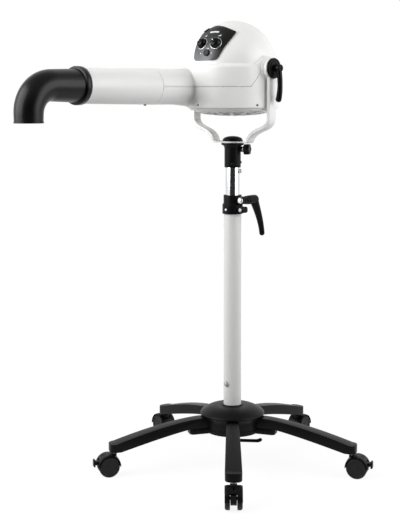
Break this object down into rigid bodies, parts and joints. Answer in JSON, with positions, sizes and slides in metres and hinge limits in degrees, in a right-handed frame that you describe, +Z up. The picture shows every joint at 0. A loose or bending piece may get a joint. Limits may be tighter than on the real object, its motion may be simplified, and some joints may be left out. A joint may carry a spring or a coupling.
{
  "type": "standing blow dryer",
  "caption": "Salon stand dryer: blower head with a long nozzle and down-turned elbow in a tilting yoke, on a telescopic pole with a star base on casters.",
  "frame": {"origin": "on the floor under the pole's axis", "axes": "+Z up the pole, -X along the nozzle, the head's tilt axis along Y"},
  "size_m": [0.8861, 0.6183, 1.0041],
  "materials": {
    "white_plastic": "satin white injection moulding",
    "white_steel": "white powder coat",
    "black_plastic": "fine-textured black nylon",
    "black_soft": "matt black, slightly soft",
    "panel_film": "dark grey satin film",
    "chrome": "polished chrome plate",
    "zinc_steel": "zinc plated",
    "motor_body": "cast end bells and lamination stack",
    "mica": "mica board",
    "board": "solder-masked laminate"
  },
  "bodies": {
    "base": {"hub_cover": "black_plastic", "hub_plate": "black_plastic", "arm_1": "black_plastic", "arm_2": "black_plastic", "arm_3": "black_plastic", "arm_4": "black_plastic", "arm_5": "black_plastic", "outer_tube": "white_steel", "pole_bolt": "zinc_steel", "clamp_collar": "black_plastic", "clamp_stud": "chrome", "guide_bush": "black_plastic"},
    "carriage": {"inner_tube": "chrome", "stop_screw": "zinc_steel", "swivel_collar": "black_plastic"},
    "yoke_frame": {"yoke": "white_plastic", "spindle": "zinc_steel", "yoke_cap": "black_plastic", "tilt_disc_near": "black_plastic", "tilt_disc_far": "black_plastic"},
    "head": {"upper_housing": "white_plastic", "lower_housing": "white_plastic", "control_panel": "panel_film", "control_board": "board", "intake_grille": "white_plastic", "nozzle_tube": "white_plastic", "heater": "mica", "motor": "motor_body", "motor_plate": "zinc_steel", "cord_gland": "black_plastic", "tilt_bolt_far": "black_plastic"},
    "elbow": {"elbow": "black_soft"},
    "tilt_lever": {"tilt_lever": "black_plastic"},
    "heat_knob": {"heat_knob": "black_plastic"},
    "speed_knob": {"speed_knob": "black_plastic"},
    "power_button": {"power_button": "black_soft"},
    "impeller": {"impeller": "black_plastic"},
    "clamp_lever": {"clamp_lever": "black_plastic"},
    "swivel_knob": {"swivel_knob": "black_plastic"},
    "pole_lock_lever": {"pole_lock_lever": "black_plastic"},
    "caster_1": {"caster_1_stem": "zinc_steel", "caster_1_hood": "black_plastic"},
    "wheels_1": {"caster_1_wheels": "black_soft"},
    "pedal_1": {"caster_1_brake_pedal": "black_plastic"},
    "caster_2": {"caster_2_stem": "zinc_steel", "caster_2_hood": "black_plastic"},
    "wheels_2": {"caster_2_wheels": "black_soft"},
    "pedal_2": {"caster_2_brake_pedal": "black_plastic"},
    "caster_3": {"caster_3_stem": "zinc_steel", "caster_3_hood": "black_plastic"},
    "wheels_3": {"caster_3_wheels": "black_soft"},
    "pedal_3": {"caster_3_brake_pedal": "black_plastic"},
    "caster_4": {"caster_4_stem": "zinc_steel", "caster_4_hood": "black_plastic"},
    "wheels_4": {"caster_4_wheels": "black_soft"},
    "pedal_4": {"caster_4_brake_pedal": "black_plastic"},
    "caster_5": {"caster_5_stem": "zinc_steel", "caster_5_hood": "black_plastic"},
    "wheels_5": {"caster_5_wheels": "black_soft"},
    "pedal_5": {"caster_5_brake_pedal": "black_plastic"}
  },
  "joints": [
    {"name": "pole_slide", "type": "slide", "parent": "base", "child": "carriage", "axis": [0, 0, 1], "range_m": [-0.045, 0.28]},
    {"name": "head_swivel", "type": "hinge", "parent": "carriage", "child": "yoke_frame", "pos_m": [0, 0, 0.7307], "axis": [0, 0, 1], "continuous": true},
    {"name": "head_tilt", "type": "hinge", "parent": "yoke_frame", "child": "head", "pos_m": [0, 0, 0.8961], "axis": [0, 1, 0], "range_deg": [-45, 60]},
    {"name": "tilt_lever_turn", "type": "hinge", "parent": "head", "child": "tilt_lever", "pos_m": [0, -0.122, 0.8961], "axis": [0, 1, 0], "range_deg": [-90, 90]},
    {"name": "elbow_turn", "type": "hinge", "parent": "head", "child": "elbow", "pos_m": [-0.4013, 0.064, 0.8561], "axis": [1, 0, 0], "continuous": true},
    {"name": "heat_knob_turn", "type": "hinge", "parent": "head", "child": "heat_knob", "pos_m": [-0.08713, 0.01045, 0.9491], "axis": [-0.8936, 0.1071, 0.4359], "range_deg": [-135, 135]},
    {"name": "speed_knob_turn", "type": "hinge", "parent": "head", "child": "speed_knob", "pos_m": [-0.08425, -0.02454, 0.9491], "axis": [-0.8641, -0.2516, 0.4359], "range_deg": [-135, 135]},
    {"name": "button_press", "type": "slide", "parent": "head", "child": "power_button", "axis": [0.9697, 0.0797, -0.2308], "range_m": [0, 0.0015], "stiffness_N_per_m": 800},
    {"name": "impeller_spin", "type": "hinge", "parent": "head", "child": "impeller", "pos_m": [0, 0, 0.8831], "axis": [0, 0, 1], "continuous": true},
    {"name": "clamp_lever_turn", "type": "hinge", "parent": "base", "child": "clamp_lever", "pos_m": [0, -0.0305, 0.6026], "axis": [1, 0, 0], "range_deg": [-90, 90]},
    {"name": "swivel_knob_turn", "type": "hinge", "parent": "carriage", "child": "swivel_knob", "pos_m": [0, 0, 0.7167], "axis": [0.3746, -0.9272, 0], "continuous": true},
    {"name": "pole_lock_lever_turn", "type": "hinge", "parent": "base", "child": "pole_lock_lever", "pos_m": [0, 0, 0.0779], "axis": [0, 0, 1], "range_deg": [-30, 30]},
    {"name": "caster_1_swivel", "type": "hinge", "parent": "base", "child": "caster_1", "pos_m": [-0.20899, -0.18104, 0.0494], "axis": [0, 0, 1], "continuous": true},
    {"name": "wheels_1_roll", "type": "hinge", "parent": "caster_1", "child": "wheels_1", "pos_m": [-0.21769, -0.18857, 0.023], "axis": [0.6547, -0.7559, 0], "continuous": true},
    {"name": "pedal_1_press", "type": "hinge", "parent": "caster_1", "child": "pedal_1", "pos_m": [-0.2328, -0.20166, 0.032], "axis": [0.6547, -0.7559, 0], "range_deg": [0, 14]},
    {"name": "caster_2_swivel", "type": "hinge", "parent": "base", "child": "caster_2", "pos_m": [0.10759, -0.25471, 0.0494], "axis": [0, 0, 1], "continuous": true},
    {"name": "wheels_2_roll", "type": "hinge", "parent": "caster_2", "child": "wheels_2", "pos_m": [0.11207, -0.2653, 0.023], "axis": [0.9212, 0.3891, 0], "continuous": true},
    {"name": "pedal_2_press", "type": "hinge", "parent": "caster_2", "child": "pedal_2", "pos_m": [0.11985, -0.28373, 0.032], "axis": [0.9212, 0.3891, 0], "range_deg": [0, 14]},
    {"name": "caster_3_swivel", "type": "hinge", "parent": "base", "child": "caster_3", "pos_m": [0.27549, 0.02362, 0.0494], "axis": [0, 0, 1], "continuous": true},
    {"name": "wheels_3_roll", "type": "hinge", "parent": "caster_3", "child": "wheels_3", "pos_m": [0.28695, 0.0246, 0.023], "axis": [-0.0854, 0.9963, 0], "continuous": true},
    {"name": "pedal_3_press", "type": "hinge", "parent": "caster_3", "child": "pedal_3", "pos_m": [0.30687, 0.02631, 0.032], "axis": [-0.0854, 0.9963, 0], "range_deg": [0, 14]},
    {"name": "caster_4_swivel", "type": "hinge", "parent": "base", "child": "caster_4", "pos_m": [0.06267, 0.2693, 0.0494], "axis": [0, 0, 1], "continuous": true},
    {"name": "wheels_4_roll", "type": "hinge", "parent": "caster_4", "child": "wheels_4", "pos_m": [0.06528, 0.28051, 0.023], "axis": [-0.974, 0.2267, 0], "continuous": true},
    {"name": "pedal_4_press", "type": "hinge", "parent": "caster_4", "child": "pedal_4", "pos_m": [0.06981, 0.29999, 0.032], "axis": [-0.974, 0.2267, 0], "range_deg": [0, 14]},
    {"name": "caster_5_swivel", "type": "hinge", "parent": "base", "child": "caster_5", "pos_m": [-0.23676, 0.14282, 0.0494], "axis": [0, 0, 1], "continuous": true},
    {"name": "wheels_5_roll", "type": "hinge", "parent": "caster_5", "child": "wheels_5", "pos_m": [-0.2466, 0.14876, 0.023], "axis": [-0.5165, -0.8563, 0], "continuous": true},
    {"name": "pedal_5_press", "type": "hinge", "parent": "caster_5", "child": "pedal_5", "pos_m": [-0.26373, 0.15909, 0.032], "axis": [-0.5165, -0.8563, 0], "range_deg": [0, 14]}
  ]
}
